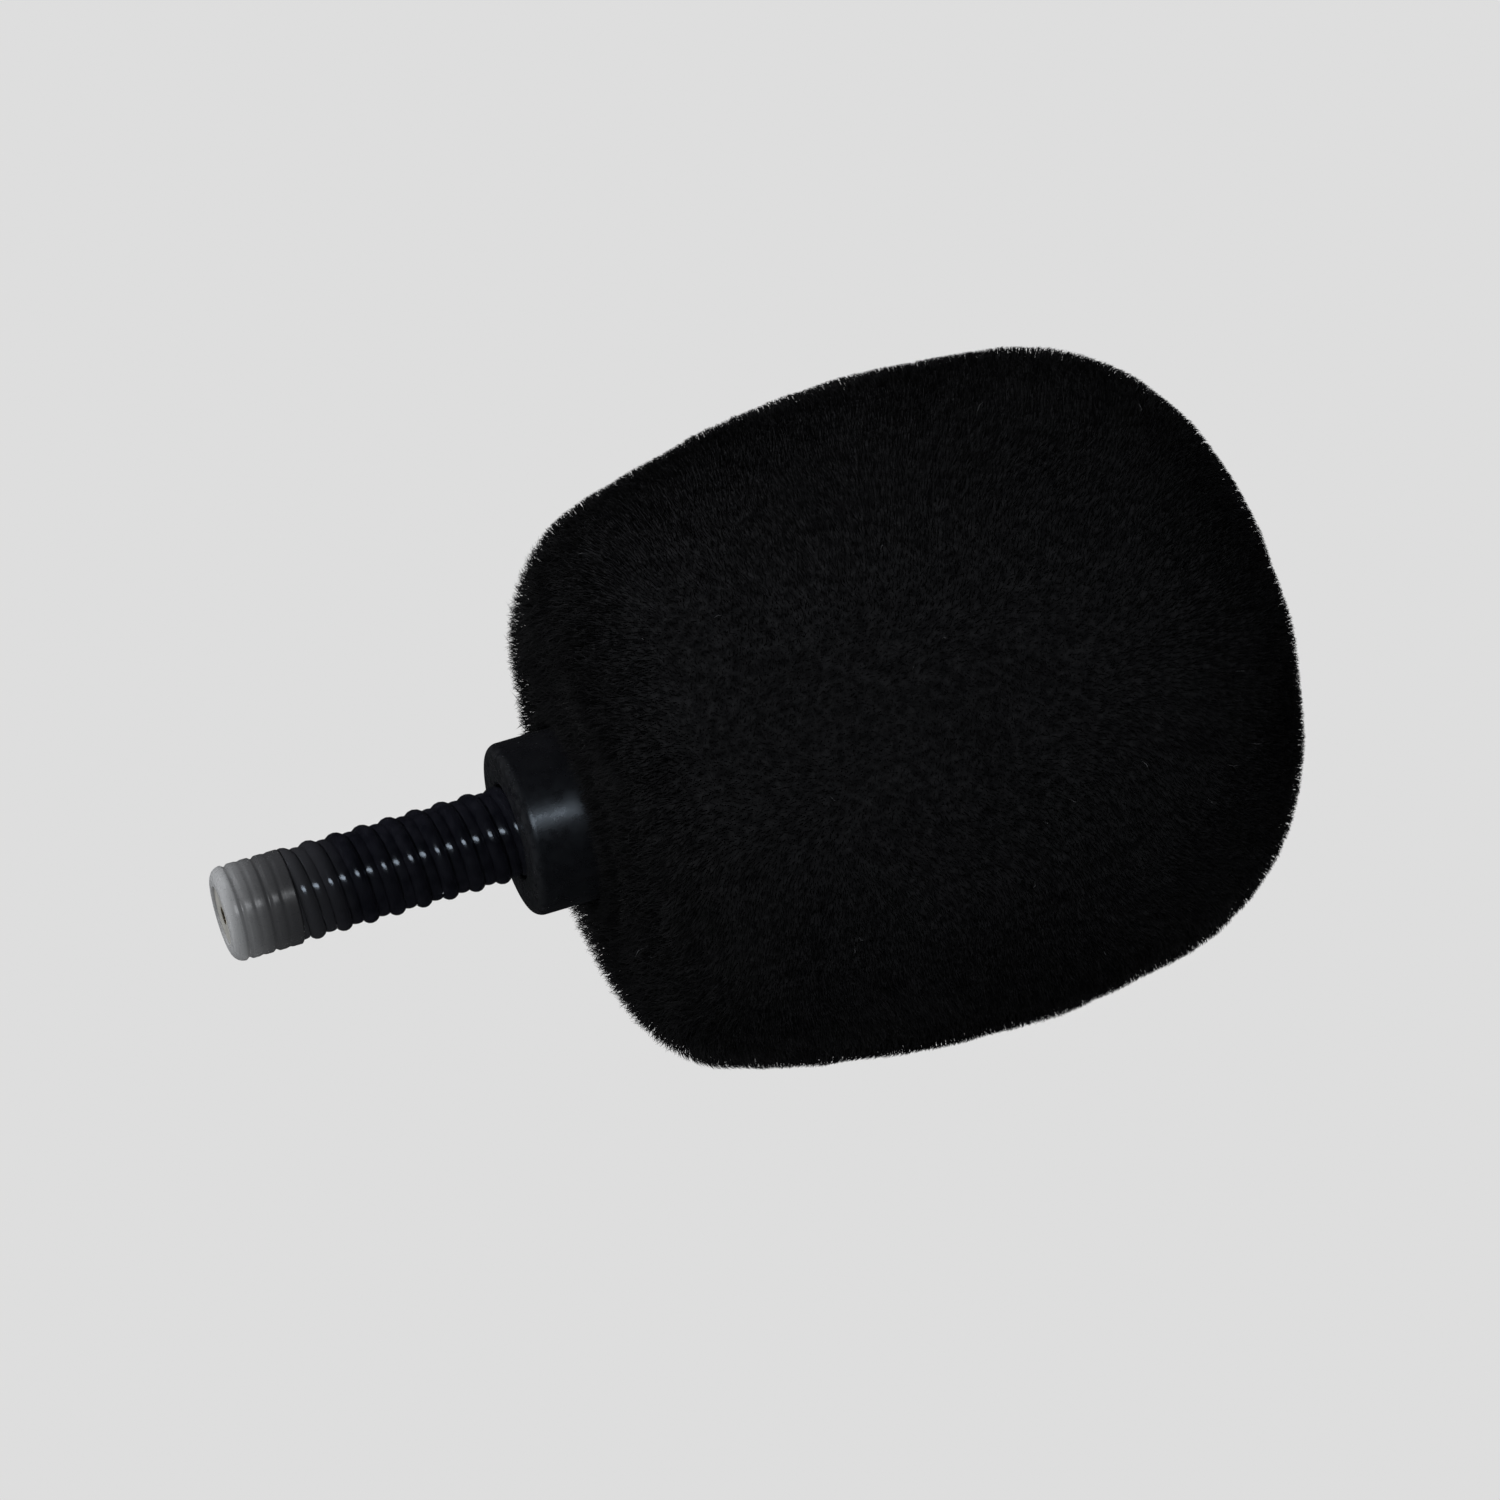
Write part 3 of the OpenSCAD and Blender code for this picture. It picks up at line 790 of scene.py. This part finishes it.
# ---------------------------------------------------------------- barrel
def make_barrel():
    """The barrel turned with fine rounded edges, and its set-screw hole drilled."""
    edge_r = 0.7 * MM
    neck_hole_r = NECK_R + 0.1 * MM
    floor_t = 1 * MM
    bush_r = 3.95 * MM
    bush_top = BARREL_LOW.z + 6 * MM
    grommet_r = 4.2 * MM
    shoulder_z = BARREL_LOW.z + 9.4 * MM
    capsule_r = 4.9 * MM
    grip_z = (RING_LOW.z + RING_HIGH.z) / 2
    groove_r = 4.74 * MM
    groove_half = 0.58 * MM
    nick = 0.06 * MM
    lower_edge = [
        (BARREL_R - edge_r + edge_r * math.cos(a), BARREL_LOW.z + edge_r + edge_r * math.sin(a))
        for a in np.linspace(-math.pi / 2, 0, 13)
    ]
    hole_edge = [(neck_hole_r, BARREL_LOW.z + 0.1 * MM), (neck_hole_r + 0.1 * MM, BARREL_LOW.z)]
    upper = [
        (BARREL_R, grip_z - groove_half - nick), (BARREL_R - nick, grip_z - groove_half),
        (groove_r, grip_z - groove_half), (groove_r, grip_z + groove_half),
        (BARREL_R - nick, grip_z + groove_half), (BARREL_R, grip_z + groove_half + nick),
        (BARREL_R, BARREL_HIGH.z - nick), (BARREL_R - nick, BARREL_HIGH.z),
        (capsule_r, BARREL_HIGH.z), (capsule_r, shoulder_z), (grommet_r, shoulder_z),
        (grommet_r, bush_top), (bush_r, bush_top), (bush_r, BARREL_LOW.z + floor_t),
        (neck_hole_r, BARREL_LOW.z + floor_t),
    ]
    barrel = lathe("barrel", hole_edge + lower_edge + upper, BARREL, segments=160, sharp_deg=25)
    drill(barrel, (SCREW_LOW.z + SCREW_HIGH.z) / 2, SCREW_HIGH.y + 0.02 * MM)
    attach(barrel, "microphone_head")
    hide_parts("mic_barrel")


def drill(barrel, height, radius):
    """Drills a hole along +X through the barrel's wall, lightly countersunk."""
    sides = 48
    sink = 0.12 * MM
    past_wall = 1 * MM
    stations = [
        (BARREL_R * 0.6, radius), (BARREL_R - sink, radius),
        (BARREL_R + past_wall, radius + sink + past_wall),
    ]
    rays = [direction(2 * math.pi * i / sides) for i in range(sides)]
    bit = bmesh.new()
    rings = []
    for x, r in stations:
        rings.append([bit.verts.new((x, r * ray[0], height + r * ray[1])) for ray in rays])
    for a, b in zip(rings, rings[1:]):
        for i in range(sides):
            n = (i + 1) % sides
            bit.faces.new([a[i], a[n], b[n], b[i]])
    bit.faces.new(rings[0])
    bit.faces.new(rings[-1])
    bmesh.ops.recalc_face_normals(bit, faces=bit.faces)
    mesh = bpy.data.meshes.new("drill_bit")
    bit.to_mesh(mesh)
    bit.free()
    tool = bpy.data.objects.new("drill_bit", mesh)
    bpy.context.scene.collection.objects.link(tool)
    cut = barrel.modifiers.new("hole", "BOOLEAN")
    cut.operation = "DIFFERENCE"
    cut.solver = "EXACT"
    cut.object = tool
    with_hole = barrel.evaluated_get(bpy.context.evaluated_depsgraph_get())
    drilled = bpy.data.meshes.new_from_object(with_hole)
    barrel.modifiers.clear()
    barrel.data = drilled
    bpy.data.objects.remove(tool)


# ---------------------------------------------------------------- windscreen
# Length of the pile that stands off the backing; on the rear face it is longer and thinner
PILE = 0.75 * MM
REAR_PILE = 1.25 * MM
PILE_OVER = 0.14 * MM  # how far its tips stand over the outline
ROOT_DEPTH = 0.08 * MM  # how far its roots are sunk in the backing
FIBRES = 120000
FIBRES_PER_PIECE = 19500
TUFTS = 15000
STRAY_SHARE = 0.0006
STRAY_SHADE = len(PILE_SHADES) - 1
GOLDEN_TURN = math.pi * (3 - math.sqrt(5))


def rear_share(normals):
    """1 on the rear face round the mouth, 0 from the side on."""
    angle = np.arctan2(normals[:, 1], normals[:, 0])
    return 1 - smooth(angle, math.radians(-48), math.radians(-24))


def pile_depth(normals):
    return PILE + (REAR_PILE - PILE) * rear_share(normals)


def lumps(points):
    """How far the fur's surface stands in or out: the slight unevenness of a sewn cover over foam."""
    return 0.07 * MM * ripple(points, 9 * MM, 3) + 0.04 * MM * ripple(points, 3.2 * MM, 4)


def make_backing():
    """The knitted backing, a closed shell between the pile and the foam."""
    segments = 256
    points, normals = outline(0.35 * MM)
    outer = points - normals * pile_depth(normals)[:, None]
    inner = points - normals * COVER_T
    inner[-1][0] = 0
    outer[-1][0] = 0
    profile = [tuple(p) for p in inner[::-1]] + [tuple(p) for p in outer]
    inner_points = 1 + segments * (len(points) - 1)

    def warp(mesh_points):
        moved = mesh_points.copy()
        outside = np.zeros(len(moved), bool)
        outside[inner_points:] = True
        away = moved - np.array([0, 0, (MOUTH_Z + NOSE_Z) / 2])
        away /= np.linalg.norm(away, axis=1)[:, None]
        moved[outside] += (away * lumps(moved)[:, None])[outside]
        return lean(moved)

    backing = lathe("fur_backing", profile, backing_finish(), segments=segments, warp=warp)
    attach(backing, "windscreen")
    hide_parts("fur_cover")


def scatter(count, jitter, rng):
    """Points spread evenly over the fur's outline surface, with their normals and place along it."""
    points, normals = outline(0.1 * MM)
    lengths = np.linalg.norm(np.diff(points, axis=0), axis=1)
    areas = lengths * math.pi * (points[1:, 0] + points[:-1, 0])
    total = np.concatenate([[0], np.cumsum(areas)])
    wanted = (np.arange(count) + rng.uniform(-jitter, jitter, count)) / count * total[-1]
    wanted = np.clip(wanted, 0, total[-1])
    radius, height = (np.interp(wanted, total, points[:, i]) for i in range(2))
    across, along = (np.interp(wanted, total, normals[:, i]) for i in range(2))
    turns = GOLDEN_TURN * np.arange(count) + rng.uniform(-jitter, jitter, count) * 0.02
    ray = np.stack([np.cos(turns), np.sin(turns)], 1)
    place = np.column_stack([radius[:, None] * ray, height])
    normal = np.column_stack([across[:, None] * ray, along])
    normal /= np.linalg.norm(normal, axis=1)[:, None]
    profile_normal = np.stack([across, along], 1)
    return place, normal, profile_normal


def tangents(normals):
    side = np.cross(normals, [0.31, 0.42, 0.85])
    side /= np.linalg.norm(side, axis=1)[:, None]
    return side, np.cross(normals, side)


def nearest_tuft(points, rng):
    """The tuft each fibre belongs to, as its centre and a random number of its own."""
    centres, _, _ = scatter(TUFTS, 0.5, rng)
    tree = KDTree(TUFTS)
    for i, centre in enumerate(centres):
        tree.insert(centre, i)
    tree.balance()
    index = np.array([tree.find(p)[1] for p in points])
    return centres[index], rng.random(TUFTS)[index]


def fibre_mesh(name, roots, mids, tips, radii, shades, materials):
    """Tapered three-sided fibres, each closed, from root over a bend to a point."""
    count = len(roots)
    first, second = mids - roots, tips - mids
    corner = np.zeros((count, 7, 3))
    for level, (centre, ahead, scale) in enumerate(((roots, first, 1.0), (mids, first + second, 0.72))):
        ahead = ahead / np.linalg.norm(ahead, axis=1)[:, None]
        side, other = tangents(ahead)
        for k in range(3):
            a = 2 * math.pi * k / 3
            ring = math.cos(a) * side + math.sin(a) * other
            corner[:, level * 3 + k] = centre + ring * (radii * scale)[:, None]
    corner[:, 6] = tips
    walls = []
    for k in range(3):
        n = (k + 1) % 3
        walls += [[k, n, 3 + n], [k, 3 + n, 3 + k], [3 + k, 3 + n, 6]]
    walls.append([0, 2, 1])
    walls = np.array(walls)
    faces = (walls[None] + (7 * np.arange(count))[:, None, None]).reshape(-1, 3)
    mesh = bpy.data.meshes.new(name)
    mesh.vertices.add(count * 7)
    mesh.vertices.foreach_set("co", corner.astype(np.float32).ravel())
    mesh.loops.add(faces.size)
    mesh.loops.foreach_set("vertex_index", faces.astype(np.int32).ravel())
    mesh.polygons.add(len(faces))
    mesh.polygons.foreach_set("loop_start", np.arange(0, faces.size, 3, dtype=np.int32))
    mesh.polygons.foreach_set("use_smooth", np.ones(len(faces), bool))
    mesh.polygons.foreach_set("material_index", np.repeat(shades, len(walls)).astype(np.int32))
    for material in materials:
        mesh.materials.append(material)
    mesh.update(calc_edges=True)
    obj = bpy.data.objects.new(name, mesh)
    bpy.context.scene.collection.objects.link(obj)
    return obj


def fibre_slant(place, normal, rear, rng):
    """How far each fibre leans per length: a slow drift over the fur, and a little by itself."""
    count = len(place)
    side, other = tangents(normal)
    drift_side = 0.28 * ripple(place, 14 * MM, 11)[:, None]
    drift_other = 0.28 * ripple(place, 14 * MM, 12)[:, None]
    drift = drift_side * side + drift_other * other
    own = rng.normal(size=(count, 1)) * side + rng.normal(size=(count, 1)) * other
    return drift + (0.22 + 0.08 * rear)[:, None] * own


def fibre_reach(depth, rear, tuft_number, rng):
    """Length of each fibre, from its root in the backing to its tip a little over the outline."""
    count = len(depth)
    reach = depth * (0.93 + 0.07 * rng.random(count)) + ROOT_DEPTH + PILE_OVER
    reach += rear * (0.2 * rng.random(count) ** 3 - 0.02) * MM
    reach -= 0.10 * MM * tuft_number
    return reach


def fibre_shades(tuft_number, rng):
    """The dye shade of each fibre, alike within a tuft, with a few pale strays."""
    count = len(tuft_number)
    mixed = tuft_number * 2.6 + rng.random(count) * 1.6
    shade = np.floor(np.clip(mixed, 0, 3.99)).astype(int)
    shade[rng.random(count) < STRAY_SHARE] = STRAY_SHADE
    return shade


def make_pile():
    """The short dense pile, thinner and longer on the rear face, gathered into small tufts."""
    rng = np.random.default_rng(SEED)
    place, normal, profile_normal = scatter(FIBRES, 0.5, rng)
    rear = rear_share(profile_normal)
    kept = rng.random(FIBRES) > 0.3 * rear
    place, normal, profile_normal, rear = place[kept], normal[kept], profile_normal[kept], rear[kept]
    count = len(place)
    depth = pile_depth(profile_normal)
    tuft, tuft_number = nearest_tuft(place, rng)
    slant = fibre_slant(place, normal, rear, rng)
    gather = (tuft - place) * (0.55 + 0.3 * rear)[:, None]
    base = place - normal * (depth + ROOT_DEPTH)[:, None] + normal * lumps(place)[:, None]
    reach = fibre_reach(depth, rear, tuft_number, rng)
    # The pile is blunt: each fibre tapers from its bend, which is high up
    bend = rng.uniform(0.74, 0.88, count) - 0.1 * rear
    to_bend = reach * bend
    mids = base + normal * to_bend[:, None] + slant * (to_bend * 0.6)[:, None] + gather * 0.35
    tips = base + normal * reach[:, None] + slant * reach[:, None] + gather
    radii = rng.uniform(0.024, 0.036, count) * (1 + 0.1 * rear) * MM
    shade = fibre_shades(tuft_number, rng)
    chunks = math.ceil(count / FIBRES_PER_PIECE)
    for k, part in enumerate(np.array_split(np.arange(count), chunks)):
        piece = fibre_mesh(f"fur_pile_{k + 1}", lean(base[part]), lean(mids[part]), lean(tips[part]),
                           radii[part], shade[part], PILE_SHADES)
        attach(piece, "windscreen")


def make_fringe():
    """The pile that hangs from the hem over the barrel's shoulder and hides the mouth's edge."""
    rng = np.random.default_rng(SEED + 1)
    count = 5200
    rooted_r = HEM_R - 0.05 * MM
    clear_r = BARREL_R + 0.16 * MM
    turn = rng.uniform(0, 2 * math.pi, count)
    around = np.radians(rng.uniform(-150, 10, count))
    root_r = HEM_MID_R + rooted_r * np.cos(around)
    root_z = HEM_MID_Z + rooted_r * np.sin(around)
    length = rng.uniform(0.75, 1.25, count) * MM + 0.25 * MM * rng.random(count) ** 4
    inwards = rng.normal(0.12, 0.22, count) + 0.25 * np.cos(around)
    sideways = rng.normal(0, 0.28, count) + 0.25 * np.sin(9 * turn + 2 * np.sin(4 * turn))
    gather = 0.16 * MM * np.sin(31 * turn + 3 * np.sin(5 * turn))
    ray = np.column_stack([np.cos(turn), np.sin(turn), np.zeros(count)])
    side = np.column_stack([-np.sin(turn), np.cos(turn), np.zeros(count)])
    up = np.array([0.0, 0.0, 1.0])

    def along(share):
        radius = np.maximum(root_r - inwards * length * share ** 1.5, clear_r)
        height = root_z - length * share
        shift = sideways * length * share + gather * share
        return ray * radius[:, None] + side * shift[:, None] + up * height[:, None]

    shade = rng.integers(0, STRAY_SHADE, count)
    radii = rng.uniform(0.026, 0.038, count) * MM
    piece = fibre_mesh("fur_fringe", along(0.0), along(0.5), along(1.0), radii, shade, PILE_SHADES)
    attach(piece, "windscreen")


def make_hem():
    """The rolled hem, gathered over its elastic, with a row of overlock stitches."""
    hollow = 0.34 * MM
    slit = math.radians(8)
    angles = np.linspace(math.pi / 2 + slit, math.pi * 2.5 - slit, 40)
    outer = [(HEM_MID_R + HEM_R * math.cos(a), HEM_MID_Z + HEM_R * math.sin(a)) for a in angles]
    inner = [(HEM_MID_R + hollow * math.cos(a), HEM_MID_Z + hollow * math.sin(a)) for a in angles[::-1]]

    def gather(points):
        turn = np.arctan2(points[:, 1], points[:, 0])
        from_axis = np.linalg.norm(points[:, :2], axis=1)
        away = np.stack([from_axis - HEM_MID_R, points[:, 2] - HEM_MID_Z], 1)
        distance = np.linalg.norm(away, axis=1)
        pleats = np.sin(46 * turn + 1.5 * np.sin(5 * turn)) + 0.4 * np.sin(83 * turn + 2)
        share = smooth(distance, hollow * 1.2, HEM_R) * 0.035 * MM * (pleats - 1.2)
        step = away / distance[:, None] * share[:, None]
        grown = (from_axis + step[:, 0]) / from_axis
        return np.column_stack([points[:, :2] * grown[:, None], points[:, 2] + step[:, 1]])

    hem = lathe("rolled_hem", outer + inner, HEM_CLOTH, segments=320, warp=gather, sharp_deg=60)
    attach(hem, "windscreen")
    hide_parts("mouth_hem")
    make_stitches()


def make_stitches(count=44):
    """Short threads that slant over the hem's lower side."""
    points, faces = [], []
    thread_r = 0.06 * MM
    sideways = math.radians(3.2)
    for i in range(count):
        turn = 2 * math.pi * i / count
        path = []
        for t in np.linspace(0, 1, 7):
            around = math.radians(-28 - 50 * t)
            stand = HEM_R + thread_r * (1.3 * math.sin(math.pi * t) - 0.9)
            r = HEM_MID_R + stand * math.cos(around)
            z = HEM_MID_Z + stand * math.sin(around)
            a = turn + sideways * t
            path.append((r * math.cos(a), r * math.sin(a), z))
        ring, wall = tube(path, thread_r)
        faces.extend([index + len(points) for index in face] for face in wall)
        points.extend(ring)
    stitches = shown("hem_stitches", mesh_of("hem_stitches", points, faces), HEM_CLOTH, 50)
    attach(stitches, "windscreen")


def make_foam():
    """The foam body, with open cells in the bore and on the rear face."""
    cone_top = BARREL_HIGH.z + 2.9 * MM
    bore_top = BARREL_HIGH.z + 1.7 * MM
    rear_z = MOUTH_Z + FOAM_INSET
    lip = 0.03 * MM
    points, normals = outline(0.9 * MM)
    shell = points - normals * FOAM_INSET
    shell = shell[shell[:, 0] > BORE_R + 2 * MM]
    cell = 0.27 * MM
    bore = [(BORE_R, z) for z in np.arange(bore_top, rear_z, -cell)]
    face = [(r, rear_z) for r in np.arange(BORE_R + 0.05 * MM, shell[0][0], cell)]
    cone = [(BORE_R * t, cone_top + (bore_top - cone_top) * t) for t in np.linspace(0, 1, 16)[:-1]]
    profile = cone + bore + face + [tuple(p) for p in shell] + [(0.0, NOSE_Z - FOAM_INSET)]

    def cells(mesh_points):
        from_axis = np.linalg.norm(mesh_points[:, :2], axis=1)
        in_bore = (from_axis < BORE_R * 1.001) & (from_axis > 0)
        pit = np.clip(ripple(mesh_points, 0.75 * MM, 21, waves=30), -0.2, 1.5) * 0.11 * MM
        moved = mesh_points.copy()
        moved[in_bore, :2] *= (1 + (pit[in_bore] + lip) / from_axis[in_bore])[:, None]
        on_face = (np.abs(mesh_points[:, 2] - rear_z) < 1e-6) & ~in_bore
        moved[on_face, 2] += pit[on_face] + lip
        leaned = lean(moved)
        leaned[in_bore] = moved[in_bore]
        return leaned

    foam = lathe("foam_body", profile, foam_finish(), segments=140, warp=cells, sharp_deg=70)
    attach(foam, "windscreen")
    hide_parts("foam_core")


# ---------------------------------------------------------------- the scene
make_camera()
make_studio()
finish_nodes()
make_wires()
make_cable()
make_ferrule()
make_barrel()
make_foam()
make_backing()
make_hem()
make_pile()
make_fringe()
